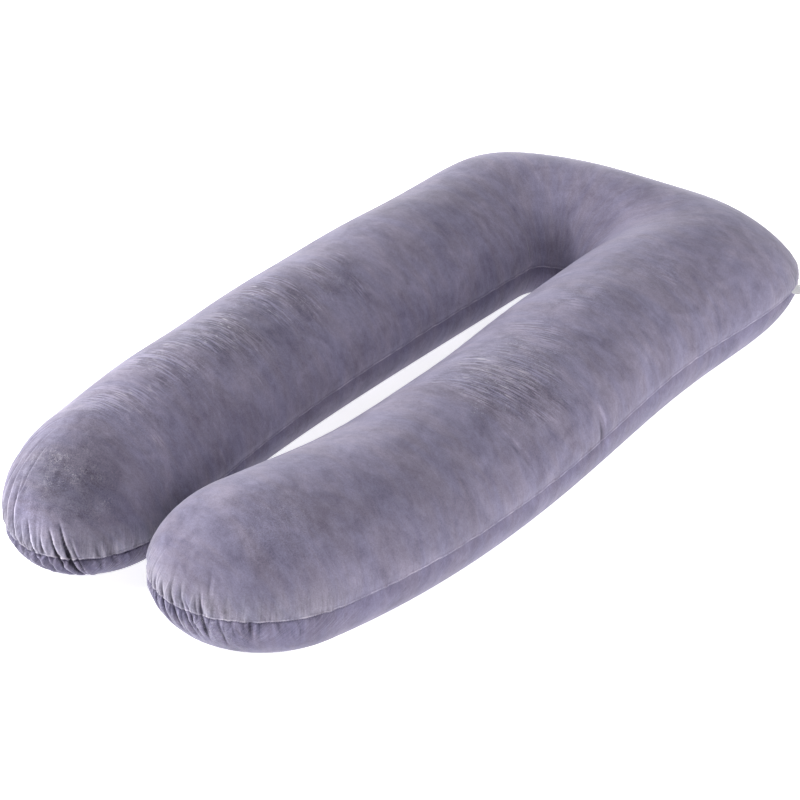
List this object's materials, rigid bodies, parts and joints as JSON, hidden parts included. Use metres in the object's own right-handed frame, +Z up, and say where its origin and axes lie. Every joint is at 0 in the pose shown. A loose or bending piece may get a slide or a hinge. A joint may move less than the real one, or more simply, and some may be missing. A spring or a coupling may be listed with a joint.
{
  "type": "u-shaped pregnancy pillow",
  "caption": "U-shaped full-body pillow: a stuffed velvet body bent round a long slot, sewn edge to edge and gathered at its leg tips, with a small folded tape tab in the side seam.",
  "frame": {"origin": "centre of the footprint, on the surface the pillow lies on", "axes": "+Y along the legs towards the closed head end, +X towards the wider leg, +Z up through the thickness"},
  "size_m": [0.701, 1.3974, 0.2009],
  "materials": {
    "velvet": "short brushed pile, matt with a soft sheen",
    "label_tape": "smooth woven tape"
  },
  "bodies": {
    "root": {"pillow": "velvet", "side_label": "label_tape"}
  },
  "joints": []
}
